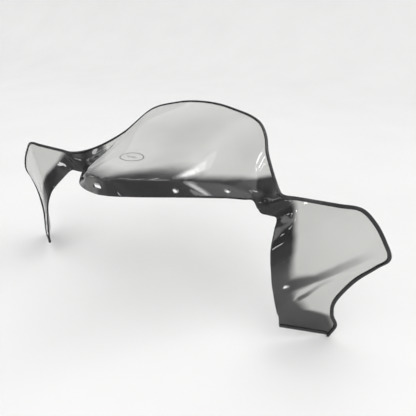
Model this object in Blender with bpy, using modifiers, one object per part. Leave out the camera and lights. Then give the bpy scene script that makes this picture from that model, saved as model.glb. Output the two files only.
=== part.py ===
"""Snowmobile-style windshield screen, modelled in metres with +Z up and the front towards -Y.

One thermoformed clear sheet makes the domed centre, the two necks and the two side wings.
A push-on U-channel trim covers its free edge from wing tip to wing tip, a shorter strip
covers the lower edge of each wing, and an oval decal sits on the centre line of the dome.

The sheet is a loft between ribs.  Every rib runs from the trimmed rim to the mounting edge
(the foot).  The ribs start at the centre plane, pass round the dome and the neck, fan out
over the wing and end along the wing's lower edge.  The right half is built and mirrored.
"""

import math

import bmesh
import bpy
import numpy as np
from mathutils import Matrix, Vector
from mathutils.bvhtree import BVHTree

MM = 0.001

# Driving dimensions, in millimetres.
SHEET_THICKNESS = 3.0
RIM_BAND = 7.5            # straight strip of sheet along each trimmed edge
TRIM_DEPTH = 4.5          # how far the channel's legs reach over the sheet
TRIM_WALL = 1.2
TRIM_WEB = 1.5
TRIM_CHAMFER = 0.6
FIT_GAP = 0.55            # clearance between the sheet and the channel
TRIM_STEP = 0.3           # clearance at the channel's web and between the strips
LAND_RADIUS = 16.0        # flat land formed round each fixing hole
TRIM_OVERHANG = 4.0       # how far the long channel runs past the wing's tip
CUTTER_DEPTH = 16.0
DECAL_SIZE = (46.0, 34.0)
DECAL_THICKNESS = 0.5
DECAL_GAP = 0.35
DECAL_CENTRE_Y = -81.0
COLUMN_LENGTH = 17.0      # longest step between neighbouring columns along the rim
COLUMN_TURN = 14.0        # largest turn of the rim between columns, in degrees
PANEL_ROWS = (0, 0.15, 0.3, 0.45, 0.6, 0.74, 0.88, 1)
FLANGE_ROWS = (0.25, 0.5, 0.75, 1)
FRAME_SHIFT = (0.0, 1.58, -4.78)   # puts the origin under the middle of the standing screen

# Dome and neck ribs: rim, shoulder, middle, fold and foot.  The fold is the crease above the
# mounting flange; it is square at the nose and fades out towards the neck.
DOME_RIBS = [
    [(0, 163, 330), (0, 79, 315), (0, -40, 287), (0, -166, 276), (0, -166, 249)],
    [(41, 161, 328), (43, 79, 313), (36, -40, 285), (22, -165, 277), (24, -166, 251)],
    [(79, 158, 321), (79, 79, 307), (66, -32, 280), (42, -146, 271), (51, -154, 250)],
    [(111, 156, 313), (109, 81, 297), (91, -18, 274), (66, -117, 265), (81, -127, 245)],
    [(135, 150, 302), (130, 84, 284), (112, -10, 264), (91, -85, 257), (112, -94, 238)],
    [(154, 133, 284), (146, 81, 270), (128, -3, 255), (114, -55, 248), (140, -66, 232)],
    [(171, 102, 262), (160, 66, 253), (145, 8, 246), (135, -29, 240), (161, -42, 226)],
    [(192, 70, 245), (174, 41, 237), (160, 8, 235), (157, -14, 230), (180, -23, 220)],
    [(211, 41, 234), (192, 18, 227), (183, 4, 224), (183, -5, 220), (193, -12, 216)],
    [(227, 15, 230), (212, 3, 221), (207, -5, 212), (205, -9, 204), (205, -11, 196)],
    [(241, -4, 232), (232, -9, 221), (227, -10, 211), (225, -11, 203), (224, -12, 195)],
]

# Wing ribs are straight: only their rim and foot points are given.
WING_RIBS = [
    [(264, -6, 234), (236, -18, 195)],
    [(295, -8, 236), (241, -38, 183)],
    [(328, -10, 238), (246, -64, 166)],
    [(360, -11, 239), (250, -74, 150)],
    [(382, -8, 220), (254, -79, 132)],
    [(400, -7, 193), (257, -81, 114)],
    [(411, -4, 165), (261, -82, 97)],
    [(396, -5, 144), (265, -82, 79)],
    [(370, -14, 114), (268, -82, 68)],
    [(349, -26, 76), (270, -81, 59)],
    [(348, -29, 50), (272, -80, 54)],
    [(356, -26, 27), (273, -80, 50)],
    [(349, -32, 9), (275, -80, 34)],
]

# Fixing holes and slots, each formed in a flat land: centre near the sheet, length, height.
HOLES = {
    "nose": ((0, -166, 262), 16.0, 6.0),
    "flange_side": ((95.5, -99.4, 247.7), 7.0, 7.0),
    "flange_rear": ((153.5, -30.3, 232.7), 11.0, 6.5),
    "wing": ((278.3, -74.2, 108), 7.0, 7.0),
}


def catmull_rom(points, times, before=None):
    """Interpolates rows of points at the given times, where row i has time i."""
    rows = np.asarray(points, float)
    first = 2 * rows[0] - rows[1] if before is None else before
    last = 2 * rows[-1] - rows[-2]
    rows = np.concatenate([first[None], rows, last[None]])
    result = []
    for time in times:
        index = min(int(time), len(rows) - 4)
        u = time - index
        p0, p1, p2, p3 = rows[index:index + 4]
        square = 2 * p0 - 5 * p1 + 4 * p2 - p3
        cubic = 3 * p1 - p0 - 3 * p2 + p3
        result.append(0.5 * (2 * p1 + (p2 - p0) * u + square * u ** 2 + cubic * u ** 3))
    return np.array(result)


def full_ribs():
    """Gives every rib the same five points; a wing rib's are spaced along its straight line."""
    ribs = [np.array(rib, float) for rib in DOME_RIBS]
    for rim, foot in np.array(WING_RIBS, float):
        ribs.append(np.array([rim + (foot - rim) * share for share in (0, 0.25, 0.5, 0.75, 1)]))
    return np.array(ribs)


def column_times(ribs, mirrored):
    """Times of the columns: closer together where the rim turns."""
    times = []
    for index in range(len(ribs) - 1):
        ends = catmull_rom(ribs[:, 0], [index, index + 0.05, index + 0.95, index + 1], mirrored[0])
        start, end = ends[1] - ends[0], ends[3] - ends[2]
        cosine = start @ end / np.linalg.norm(start) / np.linalg.norm(end)
        turn = math.degrees(math.acos(max(-1, min(1, cosine))))
        length = np.linalg.norm(ends[3] - ends[0])
        steps = max(1, math.ceil(length / COLUMN_LENGTH), math.ceil(turn / COLUMN_TURN))
        if index == len(ribs) - 2:
            steps = 1
        times += [index + step / steps for step in range(steps)]
    return times + [len(ribs) - 1]


def respaced(line, shares):
    """Moves the points of a line along it: one at the band's width, the rest at the given shares."""
    run = np.concatenate([[0], np.cumsum(np.linalg.norm(np.diff(line, axis=0), axis=1))])
    places = [0] + [RIM_BAND + (run[-1] - RIM_BAND) * share for share in shares]
    return np.array([[np.interp(place, run, line[:, axis]) for axis in range(3)] for place in places])


def sheet_grid():
    """Mid-surface points of the right half: columns along the rim, rows from rim to foot."""
    ribs = full_ribs()
    mirrored = ribs[1] * (-1, 1, 1)
    columns = catmull_rom(ribs, column_times(ribs, mirrored), mirrored)
    fine = np.linspace(0, 3, 61)
    grid = []
    for column in columns:
        panel = respaced(catmull_rom(column[:4], fine), PANEL_ROWS)
        flange = [column[3] + (column[4] - column[3]) * share for share in FLANGE_ROWS]
        grid.append(np.concatenate([panel, flange]))
    grid = np.array(grid)
    lower_edge, before = grid[-1], grid[-2]
    step = before - lower_edge
    band = lower_edge + step / np.linalg.norm(step, axis=1)[:, None] * RIM_BAND
    return np.concatenate([grid[:-1], band[None], lower_edge[None]])


def flatten_land(grid, centre):
    """Forms a flat land round a fixing hole; returns its plane's point and outward normal."""
    near = np.linalg.norm(grid - centre, axis=2) < LAND_RADIUS
    points = grid[near]
    if centre[0] == 0:
        points = np.concatenate([points, points * (-1, 1, 1)])
    middle = points.mean(axis=0)
    normal = np.linalg.svd(points - middle)[2][2]
    if normal[1] > 0:
        normal = -normal
    grid[near] -= np.outer((grid[near] - middle) @ normal, normal)
    return centre - ((centre - middle) @ normal) * normal, normal


def new_object(name, vertices, faces, collection):
    mesh = bpy.data.meshes.new(name)
    mesh.from_pydata([Vector(v) * MM for v in vertices], [], faces)
    mesh.validate()
    made = bpy.data.objects.new(name, mesh)
    collection.objects.link(made)
    return made


def material(name, colour, roughness, metallic=0.0):
    made = bpy.data.materials.new(name)
    made.use_nodes = True
    shader = made.node_tree.nodes["Principled BSDF"]
    shader.inputs["Base Color"].default_value = (*colour, 1)
    shader.inputs["Roughness"].default_value = roughness
    shader.inputs["Metallic"].default_value = metallic
    return made


def add_mirror(target):
    mirror = target.modifiers.new("right to left", "MIRROR")
    mirror.merge_threshold = 0.00005


def hole_cutter(name, centre, normal, length, height, collection):
    """A round cutter, pulled apart into a slot that lies along the sheet's lower edge."""
    bpy.ops.mesh.primitive_cylinder_add(vertices=20, radius=height / 2 * MM, depth=CUTTER_DEPTH * MM)
    cutter = bpy.context.object
    cutter.name = name
    for vertex in cutter.data.vertices:
        vertex.co.x += math.copysign((length - height) / 2 * MM, vertex.co.x)
    out = Vector(normal)
    along = Vector((0, 0, 1)).cross(out).normalized()
    turn = Matrix((along, out.cross(along), out)).transposed()
    cutter.matrix_world = Matrix.Translation(Vector(centre) * MM) @ turn.to_4x4()
    for holder in list(cutter.users_collection):
        holder.objects.unlink(cutter)
    collection.objects.link(cutter)
    cutter.hide_render = True
    cutter.display_type = "WIRE"
    return cutter


def build_sheet(grid, lands, collection, cutters):
    """The clear sheet: half the mid-surface, mirrored, thickened and drilled."""
    columns, rows = grid.shape[:2]
    faces = []
    for column in range(columns - 1):
        for row in range(rows - 1):
            first = column * rows + row
            faces.append((first, first + 1, first + rows + 1, first + rows))
    sheet = new_object("windshield_screen", grid.reshape(-1, 3), faces, collection)
    add_mirror(sheet)
    solid = sheet.modifiers.new("sheet thickness", "SOLIDIFY")
    solid.thickness = SHEET_THICKNESS * MM
    solid.offset = 0
    solid.use_even_offset = True
    for name, (centre, normal) in lands.items():
        sides = (("middle", 1),) if centre[0] == 0 else (("right", 1), ("left", -1))
        for side, sign in sides:
            flip = np.array((sign, 1, 1))
            place = (centre * flip, normal * flip)
            cutter = hole_cutter(f"{name}_hole_{side}", *place, *HOLES[name][1:], cutters)
            drill = sheet.modifiers.new(f"{name} hole {side}", "BOOLEAN")
            drill.object = cutter
            drill.solver = "EXACT"
    sheet.data.materials.append(material("clear_smoke_sheet", (0.55, 0.56, 0.55), 0.06))
    sheet.data.shade_smooth()
    return sheet


def channel_profile():
    """U-channel section: (distance in from the sheet's edge, distance off its mid-surface)."""
    slot = SHEET_THICKNESS / 2 + FIT_GAP
    outer = slot + TRIM_WALL
    back = -TRIM_STEP - TRIM_WEB
    half = [(-TRIM_STEP, slot), (TRIM_DEPTH, slot), (TRIM_DEPTH, outer)]
    half += [(back + TRIM_CHAMFER, outer), (back, outer - TRIM_CHAMFER)]
    return half + [(inward, -off) for inward, off in reversed(half)]


def sweep_channel(name, edge, inner, collection, open_start=False):
    """Sweeps the channel along an edge.

    The legs lie along the sheet's own straight band, from edge to inner, so they stay parallel
    to it.  Where that band runs at a slant to the edge, they are lengthened to the same depth.
    """
    profile = channel_profile()
    count = len(profile)
    vertices = []
    for index in range(len(edge)):
        ahead = edge[min(index + 1, len(edge) - 1)] - edge[index]
        behind = edge[index] - edge[max(index - 1, 0)]
        tangent = sum(step / max(np.linalg.norm(step), 1e-9) for step in (ahead, behind))
        if open_start and index == 0:
            tangent = np.array((1.0, 0.0, 0.0))
        tangent /= np.linalg.norm(tangent)
        inward = (inner[index] - edge[index]) / np.linalg.norm(inner[index] - edge[index])
        off = np.cross(tangent, inward)
        slant = np.linalg.norm(off)
        inward, off = inward / slant, off / slant
        vertices += [edge[index] + inward * along + off * across for along, across in profile]
    faces = []
    for index in range(len(edge) - 1):
        here, there = index * count, (index + 1) * count
        for corner in range(count):
            following = (corner + 1) % count
            faces.append((here + corner, here + following, there + following, there + corner))
    last = (len(edge) - 1) * count
    faces.append(tuple(range(last, last + count)))
    if not open_start:
        faces.append(tuple(reversed(range(count))))
    trim = new_object(name, vertices, faces, collection)
    mesh = bmesh.new()
    mesh.from_mesh(trim.data)
    bmesh.ops.recalc_face_normals(mesh, faces=mesh.faces)
    mesh.to_mesh(trim.data)
    mesh.free()
    trim.data.materials.append(material(name + "_rubber", (0.02, 0.02, 0.022), 0.4))
    trim.data.shade_smooth()
    trim.data.set_sharp_from_angle(angle=math.radians(35))
    return trim


def build_main_trim(grid, collection):
    """The long channel: round the dome, along the necks and round both wings to their tips."""
    edge, inner = grid[:, 0], grid[:, 1]
    overhang = edge[-1] - edge[-2]
    overhang *= TRIM_OVERHANG / np.linalg.norm(overhang)
    edge = np.concatenate([edge, edge[-1:] + overhang])
    inner = np.concatenate([inner, inner[-1:] + overhang])
    add_mirror(sweep_channel("edge_trim_main", edge, inner, collection, open_start=True))


def build_lower_trims(grid, collection):
    """The two short channels along the wings' lower edges, clear of the long one."""
    edge, inner = grid[-1, 1:], grid[-2, 1:]
    for side, sign in (("right", 1), ("left", -1)):
        flip = np.array((sign, 1, 1))
        sweep_channel(f"edge_trim_lower_{side}", edge * flip, inner * flip, collection)


def build_decal(sheet, collection):
    """An oval decal that follows the top of the dome, just clear of it."""
    shape = sheet.evaluated_get(bpy.context.evaluated_depsgraph_get())
    corners = [vertex.co for vertex in shape.data.vertices]
    tree = BVHTree.FromPolygons(corners, [face.vertices[:] for face in shape.data.polygons])
    rings, spokes = 4, 28
    flat = [(0.0, DECAL_CENTRE_Y)]
    for ring in range(1, rings + 1):
        for spoke in range(spokes):
            angle = 2 * math.pi * spoke / spokes
            reach = ring / rings / 2
            x = DECAL_SIZE[0] * reach * math.cos(angle)
            flat.append((x, DECAL_CENTRE_Y + DECAL_SIZE[1] * reach * math.sin(angle)))
    above = [tree.ray_cast(Vector((x, y, 1000)) * MM, Vector((0, 0, -1)))[0] / MM for x, y in flat]
    count = len(flat)
    vertices = [point + Vector((0, 0, DECAL_GAP)) for point in above]
    vertices += [point + Vector((0, 0, DECAL_GAP + DECAL_THICKNESS)) for point in above]
    faces = []
    for spoke in range(spokes):
        following = (spoke + 1) % spokes
        faces.append((0, 1 + following, 1 + spoke))
        faces.append((count, count + 1 + spoke, count + 1 + following))
        for ring in range(rings - 1):
            a, b = 1 + ring * spokes + spoke, 1 + ring * spokes + following
            faces.append((a, b, b + spokes, a + spokes))
            faces.append((count + a, count + a + spokes, count + b + spokes, count + b))
        a, b = 1 + (rings - 1) * spokes + spoke, 1 + (rings - 1) * spokes + following
        faces.append((a, b, count + b, count + a))
    decal = new_object("oval_decal", vertices, faces, collection)
    decal.data.materials.append(material("grey_decal_film", (0.35, 0.36, 0.36), 0.3))
    decal.data.shade_smooth()
    decal.data.set_sharp_from_angle(angle=math.radians(35))


def main():
    for old in list(bpy.data.objects):
        bpy.data.objects.remove(old)
    parts = bpy.data.collections.new("windshield_screen")
    cutters = bpy.data.collections.new("cutters")
    for holder in (parts, cutters):
        bpy.context.scene.collection.children.link(holder)
    grid = sheet_grid() + FRAME_SHIFT
    lands = {name: flatten_land(grid, np.add(hole[0], FRAME_SHIFT)) for name, hole in HOLES.items()}
    sheet = build_sheet(grid, lands, parts, cutters)
    build_main_trim(grid, parts)
    build_lower_trims(grid, parts)
    build_decal(sheet, parts)


main()
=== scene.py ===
"""Looks of the windshield screen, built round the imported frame.

The smoked sheet, its push-on trims and the oval mark are rebuilt here as fine meshes in the
places that the frame gives them.  Lengths are millimetres until a mesh is made, apart from those
of the stage, the lamps and the camera, which are metres.
"""

import math

import bmesh
import bpy
import numpy as np
from mathutils import Matrix, Vector, noise
from mathutils.bvhtree import BVHTree


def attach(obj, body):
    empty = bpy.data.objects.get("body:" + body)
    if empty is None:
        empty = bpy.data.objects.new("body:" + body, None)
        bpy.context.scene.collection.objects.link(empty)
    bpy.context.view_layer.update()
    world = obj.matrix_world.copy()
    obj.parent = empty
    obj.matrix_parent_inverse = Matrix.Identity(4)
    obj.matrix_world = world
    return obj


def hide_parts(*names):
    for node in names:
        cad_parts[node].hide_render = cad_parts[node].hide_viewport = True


MM = 0.001

# Points closer than this become one at the mirror plane.
MIRROR_MERGE = 0.05

# The sheet's design, as in the CAD: its ribs run from the trimmed rim to the mounting edge.  The
# rim band is the straight strip that the trim sits on, and the shift is from the design's place to
# the frame's.
SHEET_THICKNESS = 3.0
RIM_BAND = 7.5
FRAME_SHIFT = (0.0, 1.58, -4.78)
DOME_RIBS = [
    [(0, 163, 330), (0, 79, 315), (0, -40, 287), (0, -166, 276), (0, -166, 249)],
    [(41, 161, 328), (43, 79, 313), (36, -40, 285), (22, -165, 277), (24, -166, 251)],
    [(79, 158, 321), (79, 79, 307), (66, -32, 280), (42, -146, 271), (51, -154, 250)],
    [(111, 156, 313), (109, 81, 297), (91, -18, 274), (66, -117, 265), (81, -127, 245)],
    [(135, 150, 302), (130, 84, 284), (112, -10, 264), (91, -85, 257), (112, -94, 238)],
    [(154, 133, 284), (146, 81, 270), (128, -3, 255), (114, -55, 248), (140, -66, 232)],
    [(171, 102, 262), (160, 66, 253), (145, 8, 246), (135, -29, 240), (161, -42, 226)],
    [(192, 70, 245), (174, 41, 237), (160, 8, 235), (157, -14, 230), (180, -23, 220)],
    [(211, 41, 234), (192, 18, 227), (183, 4, 224), (183, -5, 220), (193, -12, 216)],
    [(227, 15, 230), (212, 3, 221), (207, -5, 212), (205, -9, 204), (205, -11, 196)],
    [(241, -4, 232), (232, -9, 221), (227, -10, 211), (225, -11, 203), (224, -12, 195)],
]
WING_RIBS = [
    [(264, -6, 234), (236, -18, 195)],
    [(295, -8, 236), (241, -38, 183)],
    [(328, -10, 238), (246, -64, 166)],
    [(360, -11, 239), (250, -74, 150)],
    [(382, -8, 220), (254, -79, 132)],
    [(400, -7, 193), (257, -81, 114)],
    [(411, -4, 165), (261, -82, 97)],
    [(396, -5, 144), (265, -82, 79)],
    [(370, -14, 114), (268, -82, 68)],
    [(349, -26, 76), (270, -81, 59)],
    [(348, -29, 50), (272, -80, 54)],
    [(356, -26, 27), (273, -80, 50)],
    [(349, -32, 9), (275, -80, 34)],
]
# How far the middle of each wing rib bows in behind its straight line, and which way.
WING_BOW = (0, 0, 0, 0, 1, 4, 7, 9, 9, 7, 4, 1.5, 0)
BOW_WAY = np.array((-0.587, 0.793, 0.161))
HOLES = {
    "nose": ((0, -166, 262), 16.0, 6.0),
    "flange_side": ((95.5, -99.4, 247.7), 7.0, 7.0),
    "flange_rear": ((153.5, -30.3, 232.7), 11.0, 6.5),
    "wing": ((278.3, -74.2, 108), 7.0, 7.0),
}

# The land round a hole is fitted to the sheet within its radius.  It is flat up to LAND_SOFT inside
# its edge, and has blended into the sheet at its edge.
LAND_RADIUS = 16.0
LAND_EDGE = 1.15 * LAND_RADIUS
LAND_SOFT = 0.5 * LAND_RADIUS

# Fineness of the visible sheet.  Each span between ribs is measured at the given shares of it.
COLUMN_LENGTH = 3.4
COLUMN_TURN = 4.0
SPAN_SHARES = (0, 0.05, 0.95, 1)
RIB_SAMPLES = 91
PANEL_ROWS = 52
FLANGE_ROWS = 7
FOLD_ROWS = 4
FOLD_RADIUS = 5.0
EDGE_BEVEL = 0.35
EDGE_ANGLE = 60
SHEET_SMOOTH_ANGLE = 35
CUTTER_SIDES = 48
CUTTER_DEPTH = 16.0

# Black fade, measured up from the mounting edge:
# (rib number, middle of the fade, its softness, how black the solid part is).
FADE = [
    (0, 46, 30, 1), (0.6, 46, 30, 1), (1, 48, 28, 1), (1.5, 60, 26, 1), (2, 76, 36, 1),
    (2.6, 85, 42, 1), (3.3, 82, 38, 1), (4, 66, 26, 1), (4.6, 54, 20, 1), (6, 56, 20, 1),
    (7, 70, 20, 1), (7.5, 94, 22, 1), (8, 120, 20, 1), (10, 110, 20, 1), (10.6, 46, 14, 1),
    (11, 41, 9, 1), (12, 41, 8, 1), (13.2, 46, 8, 1), (14.2, 43, 8, 1), (14.8, 38, 8, 0.96),
    (15.7, 35, 10, 0.92), (16.6, 38, 12, 0.92), (18, 38, 12, 0.92), (19.5, 42, 12, 0.92),
    (20.6, 50, 12, 0.92), (21.2, 90, 14, 0.92), (23, 112, 14, 0.92),
]

# Painted reflection on the nose: its black is made paler up to this rib and this far from the
# mounting edge.
PAINTED_REFLECTION_RIB = 1.3
PAINTED_REFLECTION_RIB_SOFT = 0.5
PAINTED_REFLECTION_HEIGHT = 30
PAINTED_REFLECTION_HEIGHT_SOFT = 10

# Streaks of the fade on each wing: (place, half-width, cover) along each line.  A streak is full
# to half its half-width, and gone at one and a half.
STREAK_REACH = 1.5
DARK_STREAKS = [
    [((286, -68, 110), 15, 0.95), ((302, -60, 115), 12, 0.9), ((320, -51, 120), 9, 0.85),
     ((342, -40, 134), 8, 0.55), ((369, -26, 155), 7, 0.3), ((392, -13, 173), 6, 0.0)],
    [((300, -60, 80), 5, 0.9), ((310, -54, 86), 4.5, 0.8), ((317, -50, 93), 4, 0.55),
     ((328, -44, 105), 4, 0.3), ((341, -37, 114), 4, 0.1)],
]
CLEAR_STREAK = [((293, -65, 78), 2, 0.3), ((298, -62, 88), 4, 0.75), ((309, -55.5, 97), 5, 0.8),
                ((321, -50, 108), 5, 0.7), ((336, -41, 117), 4, 0.0)]

# Shapes that the mould left in the sheet: the crease between the dome and each neck, the dish in
# each neck, and the necks' slight waviness.
CREASE = [(159, 95, 267), (158, 88, 263), (159, 73, 257), (162, 58, 249), (169, 47, 241),
          (179, 32, 233), (186, 14, 226)]
CREASE_SAMPLES = 25
CREASE_RADIUS = 4.5
CREASE_DEPTH = 1.2
DISH_CENTRE = (247, -19, 206)
DISH_RADIUS = 19.0
DISH_DEPTH = 1.8
WAVE_LENGTH = 13.0
WAVE_HEIGHT = 0.45
NECK_START = 8.3
NECK_END = 12.9
NECK_SOFT = 0.8
RIM_SOFT = 12

# Trim channel: distances in from the sheet's edge, or off its middle.
TRIM_DEPTH = 4.5
TRIM_SLOT = 1.58
TRIM_SLOT_FLOOR = -0.15
TRIM_OUTER = 2.7
TRIM_BACK = 1.65
TRIM_ROUND = 2.6
TRIM_ROUND_STEPS = 6
TRIM_TIP = 0.4
TRIM_OVERHANG = 4.0
TRIM_SMOOTH_ANGLE = 50

# Oval mark: a ring round a small bar, both drawn as outlines laid on the dome.
MARK_CENTRE_Y = -81.0
MARK_SIZE = (45.0, 33.0)
MARK_LINE = 1.7
MARK_STEPS = 96
BAR_SIZE = (20.0, 4.5)
BAR_LINE = 0.9
BAR_STEPS = 48
MARK_GAP = 0.03
MARK_HEIGHT = 0.12
ABOVE_ALL = 1000.0

# Stage and camera, in metres and degrees: the backdrop's section is a floor, a quarter circle
# and a short wall.
STAGE_FRONT = -5.0
STAGE_BACK = 2.2
STAGE_RADIUS = 1.2
STAGE_TOP = 2.0
STAGE_HALF_WIDTH = 6.0
STAGE_STEPS = 12
CAMERA_LENS = 32.52
CAMERA_PLACE = (0.4056, -0.5388, 0.4830)
CAMERA_TURN = (63.23, 0.74, 29.28)

# Patches of the studio's brightness: (azimuth, elevation, inner and outer radius, amount).
SKY_LEVEL = 1.18
SKY_PATCHES = [
    (0, 90, 6, 28, 0.6),
    (12, 50, 4, 20, 0.5),
    (-35, 58, 4, 24, -0.45),
    (100, 42, 8, 45, -0.38),
    (-110, 35, 10, 62, -0.7),
    (172, 10, 8, 40, -0.3),
    (-91, 34, 2, 10, 2.2),
]

# Lamps: (name, target, azimuth, elevation, distance, size, radiance).  The smear's lamps overlap to
# make one soft-edged patch; each other lamp gives a highlight of its own.
MIDDLE = (0.0, 0.0, 0.2)
LAMPS = [
    ("smear_core", (0.075, -0.11, 0.26), 28.4, 49.5, 0.37, 0.03, 5.5),
    ("smear_inner", (0.075, -0.11, 0.26), 28.4, 49.5, 0.372, 0.046, 4.5),
    ("smear_outer", (0.075, -0.11, 0.26), 28.4, 49.5, 0.374, 0.064, 3),
    ("smear_halo", (0.075, -0.11, 0.26), 28.4, 49.5, 0.376, 0.086, 1.6),
    ("smear_foot", (0.098, -0.06, 0.25), 42, 54.5, 0.3, 0.04, 2.5),
    ("crease_upper", MIDDLE, 25, 66, 2.2, 0.14, 9),
    ("crease_lower", MIDDLE, 8, 69, 2.2, 0.12, 5),
    ("fold_lamp", MIDDLE, 50, 65, 2.2, 0.36, 3),
    ("right_window", (0.25, -0.05, 0.18), -146, 41.5, 0.5, 0.06, 12),
    ("right_glint_low", (0.25, -0.02, 0.205), -101, 27, 0.5, 0.018, 14),
    ("right_glint_high", (0.258, -0.045, 0.185), -102, 44, 0.5, 0.018, 14),
    ("right_streak", (0.245, -0.01, 0.222), -166, 8, 0.5, 0.03, 10),
    ("left_arc", (-0.245, -0.02, 0.2), -178, 54, 0.5, 0.06, 15),
    ("left_glint", (-0.205, 0.0, 0.215), -103, 42, 0.5, 0.03, 12),
    ("left_streak", (-0.2, 0.03, 0.23), -64, 38, 0.5, 0.05, 4),
]


def catmull_rom(points, times, before=None):
    """Interpolates rows of points at the given times, where row i has time i."""
    rows = np.asarray(points, float)
    first = 2 * rows[0] - rows[1] if before is None else before
    last = 2 * rows[-1] - rows[-2]
    rows = np.concatenate([first[None], rows, last[None]])
    result = []
    for time in times:
        index = min(int(time), len(rows) - 4)
        u = time - index
        p0, p1, p2, p3 = rows[index:index + 4]
        cubic = 3 * p1 - p0 - 3 * p2 + p3
        square = 2 * p0 - 5 * p1 + 4 * p2 - p3
        result.append(0.5 * (2 * p1 + (p2 - p0) * u + square * u ** 2 + cubic * u ** 3))
    return np.array(result)


def full_ribs():
    """Gives every rib five points; a wing rib's are spaced along its slightly bowed line."""
    ribs = [np.array(rib, float) for rib in DOME_RIBS]
    for (rim, foot), bow in zip(np.array(WING_RIBS, float), WING_BOW):
        line = []
        for share in np.linspace(0, 1, 5):
            bend = 4 * share * (1 - share)
            line.append(rim + (foot - rim) * share + BOW_WAY * bow * bend)
        ribs.append(np.array(line))
    return np.array(ribs)


def column_times(ribs, mirrored):
    """Times of the columns: closer together where the rim turns."""
    times = []
    for index in range(len(ribs) - 1):
        ends = catmull_rom(ribs[:, 0], [index + share for share in SPAN_SHARES], mirrored[0])
        start, end = ends[1] - ends[0], ends[3] - ends[2]
        cosine = start @ end / np.linalg.norm(start) / np.linalg.norm(end)
        turn = math.degrees(math.acos(max(-1, min(1, cosine))))
        length = np.linalg.norm(ends[3] - ends[0])
        steps = max(1, math.ceil(length / COLUMN_LENGTH), math.ceil(turn / COLUMN_TURN))
        times += [index + step / steps for step in range(steps)]
    return times + [len(ribs) - 1]


def run_along(line):
    """Distance of each point of a line from its start."""
    return np.concatenate([[0], np.cumsum(np.linalg.norm(np.diff(line, axis=0), axis=1))])


def at_places(line, places):
    """Points of a line at the given distances from its start."""
    run = run_along(line)
    return np.column_stack([np.interp(places, run, line[:, axis]) for axis in range(3)])


def fine_column(rib):
    """One column from rim to foot, with the fold rounded to a small bend."""
    panel = catmull_rom(rib[:4], np.linspace(0, 3, RIB_SAMPLES))
    length = run_along(panel)[-1]
    upper = at_places(panel, [0] + list(np.linspace(RIM_BAND, length - FOLD_RADIUS, PANEL_ROWS)))
    flange = rib[4] - rib[3]
    reach = np.linalg.norm(flange)
    leave = rib[3] + flange / reach * min(FOLD_RADIUS, reach / 2)
    bend = []
    for u in np.linspace(0, 1, FOLD_ROWS + 1)[1:]:
        bend.append((1 - u) ** 2 * upper[-1] + 2 * u * (1 - u) * rib[3] + u * u * leave)
    lower = [leave + (rib[4] - leave) * share for share in np.linspace(0, 1, FLANGE_ROWS + 1)[1:]]
    return np.concatenate([upper, bend, lower])


def flat_land(grid, centre):
    """Flattens a soft-edged land round a hole; returns a point of its plane and its normal."""
    distance = np.linalg.norm(grid - centre, axis=2)
    near = distance < LAND_RADIUS
    points = grid[near]
    if centre[0] == 0:
        points = np.concatenate([points, points * (-1, 1, 1)])
    middle = points.mean(axis=0)
    normal = np.linalg.svd(points - middle)[2][2]
    if normal[1] > 0:
        normal = -normal
    share = soft_step((LAND_EDGE - distance) / LAND_SOFT)
    grid -= (((grid - middle) @ normal) * share)[..., None] * normal
    return centre - ((centre - middle) @ normal) * normal, normal


def soft_step(value):
    """Eases from 0 to 1 as the value does."""
    value = np.clip(value, 0, 1)
    return value * value * (3 - 2 * value)


def along_line(points, line):
    """For each point, its distance from a line of places and how far along the line it is."""
    best = np.full(points.shape[:-1], np.inf)
    station = np.zeros(points.shape[:-1])
    for index in range(len(line) - 1):
        start, step = np.array(line[index]), np.subtract(line[index + 1], line[index])
        share = np.clip((points - start) @ step / (step @ step), 0, 1)
        distance = np.linalg.norm(points - start - share[..., None] * step, axis=-1)
        closer = distance < best
        best = np.where(closer, distance, best)
        station = np.where(closer, index + share, station)
    return best, station


def without_bow(points):
    """Drops the part of each point that lies along the wings' bow."""
    return points - (points @ BOW_WAY)[..., None] * BOW_WAY


def streak_cover(points, streak):
    """Cover that one soft-edged streak, laid in the plane of the wing, gives to each point."""
    places, widths, covers = zip(*streak)
    distance, station = along_line(without_bow(points), without_bow(np.array(places)))
    stations = range(len(places))
    reach = np.interp(station, stations, widths)
    return soft_step(STREAK_REACH - distance / reach) * np.interp(station, stations, covers)


def from_foot(grid):
    """Distance of each grid point, along its column, from the mounting edge."""
    return np.array([run_along(column)[-1] - run_along(column) for column in grid])


def fade_cover(grid, times):
    """How black the sheet is at each point: 0 for clear, 1 for the solid fade."""
    knots = np.array(FADE, float)
    middle, soft, black = (np.interp(times, knots[:, 0], knots[:, k])[:, None] for k in (1, 2, 3))
    cover = soft_step((middle - from_foot(grid)) / (2 * soft) + 0.5) * black
    design = grid - FRAME_SHIFT
    for streak in DARK_STREAKS:
        cover = np.maximum(cover, streak_cover(design, streak))
    return cover * (1 - streak_cover(design, CLEAR_STREAK))


def nose_painted_reflection(grid, times):
    """The soft-edged part of the nose where the black is painted thinner, as a painted reflection.
    """
    across = soft_step((PAINTED_REFLECTION_RIB - times) / PAINTED_REFLECTION_RIB_SOFT)[:, None]
    return across * soft_step((PAINTED_REFLECTION_HEIGHT - from_foot(grid)) / PAINTED_REFLECTION_HEIGHT_SOFT)


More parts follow.
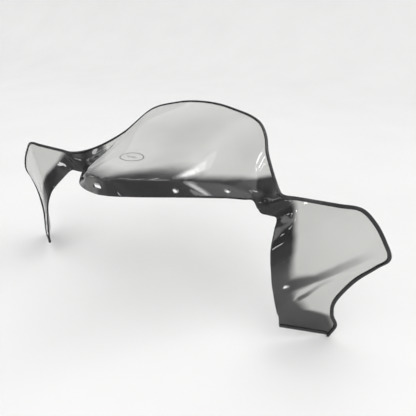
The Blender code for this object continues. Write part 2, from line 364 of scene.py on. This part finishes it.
def mould_marks(grid, times):
    """Presses the crease, the dish and the necks' waviness into the sheet, off its upper side."""
    normal = np.cross(np.gradient(grid, axis=0), np.gradient(grid, axis=1))
    normal /= np.linalg.norm(normal, axis=2)[..., None]
    normal *= np.where(normal[..., 2:] < 0, -1, 1)
    design = grid - FRAME_SHIFT
    crease_line = catmull_rom(CREASE, np.linspace(0, len(CREASE) - 1, CREASE_SAMPLES))
    crease = along_line(design, crease_line)[0]
    dish = np.linalg.norm(design - DISH_CENTRE, axis=2)
    offset = -CREASE_DEPTH * np.exp(-(crease / CREASE_RADIUS) ** 2)
    offset -= DISH_DEPTH * np.exp(-(dish / DISH_RADIUS) ** 4)
    neck = soft_step((times - NECK_START) / NECK_SOFT) * soft_step((NECK_END - times) / NECK_SOFT)
    for column in np.nonzero(neck > 0)[0]:
        for row, point in enumerate(design[column]):
            wave = noise.noise(Vector(point / WAVE_LENGTH))
            offset[column, row] += WAVE_HEIGHT * neck[column] * wave
    from_rim = np.array([run_along(column) for column in grid])
    offset *= soft_step((from_rim - RIM_BAND) / RIM_SOFT)
    return grid + offset[..., None] * normal


def mesh_object(name, vertices, faces):
    """Links a new object made from points in millimetres."""
    mesh = bpy.data.meshes.new(name)
    mesh.from_pydata([Vector(v) * MM for v in vertices], [], faces)
    made = bpy.data.objects.new(name, mesh)
    bpy.context.scene.collection.objects.link(made)
    return made


def apply_modifiers(target):
    """Swaps the object's mesh for its evaluated one."""
    graph = bpy.context.evaluated_depsgraph_get()
    mesh = bpy.data.meshes.new_from_object(target.evaluated_get(graph))
    target.modifiers.clear()
    target.data = mesh


def finish_shading(target, angle):
    """Shades smooth, apart from edges sharper than the angle in degrees."""
    target.data.shade_smooth()
    target.data.set_sharp_from_angle(angle=math.radians(angle))


def face_outward(target):
    """Turns every face of a closed piece outwards."""
    mesh = bmesh.new()
    mesh.from_mesh(target.data)
    bmesh.ops.recalc_face_normals(mesh, faces=mesh.faces)
    mesh.to_mesh(target.data)
    mesh.free()


def add_mirror(target):
    """Mirrors the right half to the left."""
    mirror = target.modifiers.new("right to left", "MIRROR")
    mirror.merge_threshold = MIRROR_MERGE * MM


def slot_cutter(name, centre, normal, length, height):
    """A round-ended bar along the normal, its length level with the floor."""
    radius = height / 2
    size = {"vertices": CUTTER_SIDES, "radius": radius * MM, "depth": CUTTER_DEPTH * MM}
    bpy.ops.mesh.primitive_cylinder_add(**size)
    cutter = bpy.context.object
    cutter.name = name
    for vertex in cutter.data.vertices:
        vertex.co.x += math.copysign((length - height) / 2 * MM, vertex.co.x)
    out = Vector(normal)
    along = Vector((0, 0, 1)).cross(out).normalized()
    turn = Matrix((along, out.cross(along), out)).transposed()
    cutter.matrix_world = Matrix.Translation(Vector(centre) * MM) @ turn.to_4x4()
    return cutter


def build_sheet(grid, times, lands):
    """The whole sheet: half the mid-surface, mirrored, thickened, edges eased, holes cut."""
    columns, rows = grid.shape[:2]
    faces = []
    for column in range(columns - 1):
        for row in range(rows - 1):
            first = column * rows + row
            faces.append((first, first + 1, first + rows + 1, first + rows))
    sheet = mesh_object("smoked_sheet", grid.reshape(-1, 3), faces)
    for name, values in (("cover", fade_cover(grid, times)), ("painted_reflection_area", nose_painted_reflection(grid, times))):
        layer = sheet.data.attributes.new(name, "FLOAT", "POINT")
        layer.data.foreach_set("value", values.ravel().astype(np.float32))
    add_mirror(sheet)
    solid = sheet.modifiers.new("thickness", "SOLIDIFY")
    solid.thickness = SHEET_THICKNESS * MM
    solid.offset = 0
    solid.use_even_offset = True
    bevel = sheet.modifiers.new("eased edges", "BEVEL")
    bevel.width = EDGE_BEVEL * MM
    bevel.segments = 2
    bevel.limit_method = "ANGLE"
    bevel.angle_limit = math.radians(EDGE_ANGLE)
    cutters = []
    for name, (centre, normal) in lands.items():
        signs = (1,) if centre[0] == 0 else (1, -1)
        for sign in signs:
            flip = np.array((sign, 1, 1))
            cutter = slot_cutter(f"{name}_{sign}", centre * flip, normal * flip, *HOLES[name][1:])
            cutters.append(cutter)
            drill = sheet.modifiers.new(cutter.name, "BOOLEAN")
            drill.object = cutter
            drill.solver = "EXACT"
    apply_modifiers(sheet)
    for cutter in cutters:
        bpy.data.objects.remove(cutter)
    finish_shading(sheet, SHEET_SMOOTH_ANGLE)
    return sheet


def trim_profile():
    """Rounded U-channel section: (distance in from the sheet's edge, distance off its middle)."""
    half = [(TRIM_SLOT_FLOOR, TRIM_SLOT), (TRIM_DEPTH - TRIM_TIP, TRIM_SLOT)]
    half += [(TRIM_DEPTH, TRIM_SLOT + TRIM_TIP), (TRIM_DEPTH, TRIM_OUTER - TRIM_TIP)]
    half.append((TRIM_DEPTH - TRIM_TIP, TRIM_OUTER))
    for step in range(TRIM_ROUND_STEPS + 1):
        angle = math.pi / 2 * (1 + step / TRIM_ROUND_STEPS)
        along = TRIM_ROUND - TRIM_BACK + TRIM_ROUND * math.cos(angle)
        half.append((along, TRIM_OUTER - TRIM_ROUND + TRIM_ROUND * math.sin(angle)))
    return half + [(along, -off) for along, off in reversed(half)]


def sweep_trim(name, edge, inner, open_start=False):
    """Sweeps the channel along an edge; its legs lie along the sheet's own straight band."""
    profile = trim_profile()
    count = len(profile)
    vertices = []
    for index in range(len(edge)):
        ahead = edge[min(index + 1, len(edge) - 1)] - edge[index]
        behind = edge[index] - edge[max(index - 1, 0)]
        tangent = sum(step / max(np.linalg.norm(step), 1e-9) for step in (ahead, behind))
        if open_start and index == 0:
            tangent = np.array((1.0, 0.0, 0.0))
        tangent /= np.linalg.norm(tangent)
        inward = (inner[index] - edge[index]) / np.linalg.norm(inner[index] - edge[index])
        off = np.cross(tangent, inward)
        slant = np.linalg.norm(off)
        inward, off = inward / slant, off / slant
        vertices += [edge[index] + inward * along + off * across for along, across in profile]
    faces = []
    for index in range(len(edge) - 1):
        here, there = index * count, (index + 1) * count
        for corner in range(count):
            following = (corner + 1) % count
            faces.append((here + corner, here + following, there + following, there + corner))
    last = (len(edge) - 1) * count
    faces.append(tuple(range(last, last + count)))
    if not open_start:
        faces.append(tuple(reversed(range(count))))
    trim = mesh_object(name, vertices, faces)
    face_outward(trim)
    return trim


def build_trims(grid):
    """The long channel round the rim and the two short ones under the wings."""
    edge, inner = grid[:, 0], grid[:, 1]
    overhang = edge[-1] - edge[-2]
    overhang *= TRIM_OVERHANG / np.linalg.norm(overhang)
    edge = np.concatenate([edge, edge[-1:] + overhang])
    inner = np.concatenate([inner, inner[-1:] + overhang])
    rim = sweep_trim("rim_trim", edge, inner, open_start=True)
    add_mirror(rim)
    apply_modifiers(rim)
    finish_shading(rim, TRIM_SMOOTH_ANGLE)
    trims = {"edge_trim_main": rim}
    down = grid[-1] - grid[-2]
    down /= np.linalg.norm(down, axis=1)[:, None]
    lower = grid[-1, 1:]
    above = lower - down[1:] * RIM_BAND
    for side, sign in (("right", 1), ("left", -1)):
        flip = np.array((sign, 1, 1))
        strip = sweep_trim(f"wing_foot_trim_{side}", lower * flip, above * flip)
        finish_shading(strip, TRIM_SMOOTH_ANGLE)
        trims[f"edge_trim_lower_{side}"] = strip
    return trims


def build_mark(sheet):
    """A plain oval ring with a short bar, laid on the dome's top surface."""
    tree = BVHTree.FromObject(sheet, bpy.context.evaluated_depsgraph_get())

    def on_dome(x, y, height):
        point = tree.ray_cast(Vector((x, y, ABOVE_ALL)) * MM, Vector((0, 0, -1)))[0] / MM
        return point + Vector((0, 0, height))

    vertices = []
    faces = []

    def oval(width, depth, count):
        angles = [2 * math.pi * step / count for step in range(count)]
        return [(width / 2 * math.cos(a), MARK_CENTRE_Y + depth / 2 * math.sin(a)) for a in angles]

    def add_ring(size, line, count):
        """A raised oval outline of the given size and line width."""
        start = len(vertices)
        width, depth = size
        outer = oval(width, depth, count)
        inner = oval(width - 2 * line, depth - 2 * line, count)
        for height in (MARK_GAP, MARK_HEIGHT):
            for path in (outer, inner):
                vertices.extend(on_dome(x, y, height) for x, y in path)
        low_out, low_in, high_out, high_in = (start + ring * count for ring in range(4))
        sides = ((high_out, high_in), (high_in, low_in), (low_in, low_out), (low_out, high_out))
        for step in range(count):
            following = (step + 1) % count
            for a, b in sides:
                faces.append((a + step, a + following, b + following, b + step))

    add_ring(MARK_SIZE, MARK_LINE, MARK_STEPS)
    add_ring(BAR_SIZE, BAR_LINE, BAR_STEPS)
    mark = mesh_object("oval_mark", vertices, faces)
    face_outward(mark)
    return mark


class Nodes:
    """A material's node tree, with short calls for the nodes used here."""

    def __init__(self, name):
        self.material = bpy.data.materials.new(name)
        self.material.use_nodes = True
        self.tree = self.material.node_tree
        self.shader = self.tree.nodes["Principled BSDF"]

    def feed(self, socket, source):
        """Sets a constant on a socket, or links another node's output to it."""
        if isinstance(source, (int, float, tuple)):
            socket.default_value = source
        else:
            self.tree.links.new(source, socket)

    def add(self, kind, links=(), **settings):
        """A new node with its settings made and its inputs fed."""
        node = self.tree.nodes.new(kind)
        for key, value in settings.items():
            setattr(node, key, value)
        for socket, source in links:
            self.feed(node.inputs[socket], source)
        return node

    def object_place(self):
        return self.add("ShaderNodeTexCoord").outputs["Object"]

    def noise(self, scale, detail=2.0, roughness=0.5, stretch=(1, 1, 1)):
        links = [("Vector", self.object_place()), ("Scale", stretch)]
        place = self.add("ShaderNodeMapping", links).outputs[0]
        links = [("Vector", place), ("Scale", scale), ("Detail", detail), ("Roughness", roughness)]
        return self.add("ShaderNodeTexNoise", links).outputs["Fac"]

    def ranged(self, value, low, high, out_low, out_high):
        links = [("Value", value), ("From Min", low), ("From Max", high)]
        links += [("To Min", out_low), ("To Max", out_high)]
        return self.add("ShaderNodeMapRange", links).outputs[0]

    def maths(self, operation, a, b):
        return self.add("ShaderNodeMath", [(0, a), (1, b)], operation=operation).outputs[0]

    def mixed(self, share, first, second):
        """A blend of two colours; a colour mix has its share at 0 and its colours at 6 and 7."""
        links = [(0, share), (6, first), (7, second)]
        return self.add("ShaderNodeMix", links, data_type="RGBA").outputs[2]

    def into(self, socket, source):
        self.feed(self.shader.inputs[socket], source)

    def bump(self, height, strength, distance):
        links = [("Height", height), ("Strength", strength), ("Distance", distance)]
        self.into("Normal", self.add("ShaderNodeBump", links).outputs[0])


def smoked_material():
    """Clear smoked plastic that fades to black towards the mounting edge, with a painted reflection
    that makes the black paler on the nose's left half.
    """
    nodes = Nodes("smoked_plastic")
    cover = nodes.add("ShaderNodeAttribute", attribute_name="cover").outputs["Fac"]
    edge = nodes.maths("MULTIPLY", cover, nodes.maths("SUBTRACT", 1.0, cover))
    drift = nodes.maths("MULTIPLY", edge, nodes.ranged(nodes.noise(28, 3), 0.3, 0.7, -0.25, 0.25))
    # Painted reflection: on the nose's left half the black is made up to 0.2 paler.
    painted_reflection_area = nodes.add("ShaderNodeAttribute", attribute_name="painted_reflection_area").outputs["Fac"]
    across = nodes.add("ShaderNodeSeparateXYZ", [(0, nodes.object_place())]).outputs["X"]
    left = nodes.ranged(across, 0.004, -0.006, 0, 0.2)
    painted_reflection = nodes.maths("MULTIPLY", painted_reflection_area, left)
    black = nodes.maths("SUBTRACT", nodes.maths("ADD", cover, drift), painted_reflection)
    tone = nodes.ranged(nodes.noise(9, 2), 0.3, 0.7, 0, 1)
    clear = nodes.mixed(tone, (0.585, 0.585, 0.57, 1), (0.655, 0.655, 0.64, 1))
    nodes.into("Base Color", nodes.mixed(black, clear, (0.012, 0.012, 0.013, 1)))
    scuffs = nodes.ranged(nodes.noise(420, 4, 0.6, (1, 0.25, 1)), 0.62, 0.8, 0, 0.12)
    polish = nodes.ranged(nodes.noise(30, 3), 0.35, 0.7, 0.012, 0.03)
    nodes.into("Roughness", nodes.maths("ADD", scuffs, polish))
    nodes.into("Transmission Weight", 1.0)
    nodes.into("IOR", 1.49)
    nodes.bump(nodes.noise(22, 2), 0.15, 0.0004)
    return nodes.material


def rubber_material():
    """Satin black extruded rubber with fine grain and dusty, paler wear."""
    nodes = Nodes("trim_rubber")
    dust = nodes.ranged(nodes.noise(60, 4, 0.6), 0.45, 0.75, 0, 1)
    nodes.into("Base Color", nodes.mixed(dust, (0.012, 0.012, 0.013, 1), (0.035, 0.035, 0.037, 1)))
    nodes.into("Roughness", nodes.ranged(nodes.noise(150, 3), 0.3, 0.7, 0.16, 0.28))
    nodes.bump(nodes.noise(2500, 2), 0.2, 0.00005)
    return nodes.material


def mark_material():
    """Thin grey printed film."""
    nodes = Nodes("printed_mark")
    worn = nodes.ranged(nodes.noise(400, 4, 0.6), 0.4, 0.7, 0, 1)
    nodes.into("Base Color", nodes.mixed(worn, (0.07, 0.075, 0.08, 1), (0.13, 0.135, 0.14, 1)))
    nodes.into("Roughness", nodes.ranged(nodes.noise(200, 2), 0.3, 0.7, 0.3, 0.5))
    return nodes.material


def floor_material():
    """Plain pale floor, very slightly uneven in tone."""
    nodes = Nodes("pale_floor")
    tone = nodes.ranged(nodes.noise(3, 3), 0.3, 0.7, 0, 1)
    nodes.into("Base Color", nodes.mixed(tone, (0.92, 0.92, 0.915, 1), (0.95, 0.95, 0.945, 1)))
    nodes.into("Roughness", 0.55)
    return nodes.material


def build_stage():
    """A pale floor that curves up into a backdrop behind the screen."""
    profile = [(STAGE_FRONT, 0.0)]
    for step in range(STAGE_STEPS + 1):
        angle = math.pi / 2 * step / STAGE_STEPS
        rise = STAGE_RADIUS * (1 - math.cos(angle))
        profile.append((STAGE_BACK + STAGE_RADIUS * math.sin(angle), rise))
    profile.append((STAGE_BACK + STAGE_RADIUS, STAGE_TOP))
    sides = (-STAGE_HALF_WIDTH, STAGE_HALF_WIDTH)
    vertices = [(x / MM, y / MM, z / MM) for y, z in profile for x in sides]
    faces = [(2 * i, 2 * i + 1, 2 * i + 3, 2 * i + 2) for i in range(len(profile) - 1)]
    floor = mesh_object("floor", vertices, faces)
    floor.data.shade_smooth()
    floor.data.materials.append(floor_material())


def heading(azimuth, elevation):
    """Unit vector; azimuth runs from +Y towards +X. Degrees."""
    turn, lift = math.radians(azimuth), math.radians(elevation)
    level = math.cos(lift)
    return Vector((math.sin(turn) * level, math.cos(turn) * level, math.sin(lift)))


def add_lamp(name, target, azimuth, elevation, distance, size, radiance):
    """A round light aimed at a target point, hidden from the camera except in reflections.

    A disk's power is its radiance times pi times its area.
    """
    towards = heading(azimuth, elevation)
    light = bpy.data.lights.new(name, "AREA")
    light.shape = "DISK"
    light.size = size
    light.energy = radiance * math.pi * (math.pi * size ** 2 / 4)
    lamp = bpy.data.objects.new(name, light)
    lamp.location = Vector(target) + towards * distance
    lamp.rotation_euler = towards.to_track_quat("Z", "Y").to_euler()
    lamp.visible_camera = False
    lamp.visible_transmission = False
    bpy.context.scene.collection.objects.link(lamp)


def build_sky():
    """A pale studio that is brighter or darker towards some sides."""
    world = bpy.data.worlds.new("studio")
    world.use_nodes = True
    tree = world.node_tree
    view = tree.nodes.new("ShaderNodeTexCoord").outputs["Generated"]
    total = None
    for azimuth, elevation, inner, outer, amount in SKY_PATCHES:
        nearness = tree.nodes.new("ShaderNodeVectorMath")
        nearness.operation = "DOT_PRODUCT"
        tree.links.new(view, nearness.inputs[0])
        nearness.inputs[1].default_value = heading(azimuth, elevation)
        patch = tree.nodes.new("ShaderNodeMapRange")
        patch.interpolation_type = "SMOOTHSTEP"
        tree.links.new(nearness.outputs["Value"], patch.inputs["Value"])
        patch.inputs["From Min"].default_value = math.cos(math.radians(outer))
        patch.inputs["From Max"].default_value = math.cos(math.radians(inner))
        patch.inputs["To Max"].default_value = amount
        added = tree.nodes.new("ShaderNodeMath")
        if total is None:
            added.inputs[0].default_value = SKY_LEVEL
        else:
            tree.links.new(total, added.inputs[0])
        tree.links.new(patch.outputs[0], added.inputs[1])
        total = added.outputs[0]
    background = tree.nodes["Background"]
    background.inputs["Color"].default_value = (1.0, 1.0, 1.0, 1)
    tree.links.new(total, background.inputs["Strength"])
    bpy.context.scene.world = world


def build_lighting():
    """The studio's sky and lamps, shown without any film look."""
    bpy.context.scene.view_settings.view_transform = "Standard"
    build_sky()
    for lamp in LAMPS:
        add_lamp(*lamp)


def build_camera():
    """Looks down at the screen from in front of its right side."""
    data = bpy.data.cameras.new("camera")
    data.lens = CAMERA_LENS
    camera = bpy.data.objects.new("camera", data)
    camera.location = CAMERA_PLACE
    camera.rotation_euler = [math.radians(angle) for angle in CAMERA_TURN]
    bpy.context.scene.collection.objects.link(camera)
    bpy.context.scene.camera = camera


def place(piece, node, slot, material):
    """Gives a piece its material and puts it in place of its plain node."""
    piece.data.materials.clear()
    piece.data.materials.append(material)
    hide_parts(node)
    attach(piece, "root")


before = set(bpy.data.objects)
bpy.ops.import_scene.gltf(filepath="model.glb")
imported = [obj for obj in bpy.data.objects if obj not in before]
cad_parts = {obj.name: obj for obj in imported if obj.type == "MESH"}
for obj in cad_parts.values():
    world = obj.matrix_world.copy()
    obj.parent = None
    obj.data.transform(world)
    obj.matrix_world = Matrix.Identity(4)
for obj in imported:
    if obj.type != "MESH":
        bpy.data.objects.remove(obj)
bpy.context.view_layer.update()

ribs = full_ribs()
mirrored_rib = ribs[1] * (-1, 1, 1)
times = np.array(column_times(ribs, mirrored_rib))
grid = np.array([fine_column(rib) for rib in catmull_rom(ribs, times, mirrored_rib)]) + FRAME_SHIFT
grid = mould_marks(grid, times)
lands = {name: flat_land(grid, np.add(hole[0], FRAME_SHIFT)) for name, hole in HOLES.items()}

sheet = build_sheet(grid, times, lands)
place(build_mark(sheet), "oval_decal", "decal_film", mark_material())
place(sheet, "windshield_screen", "smoked_sheet", smoked_material())
rubber = rubber_material()
for node, trim in build_trims(grid).items():
    place(trim, node, "trim_rubber", rubber)

build_stage()
build_lighting()
build_camera()
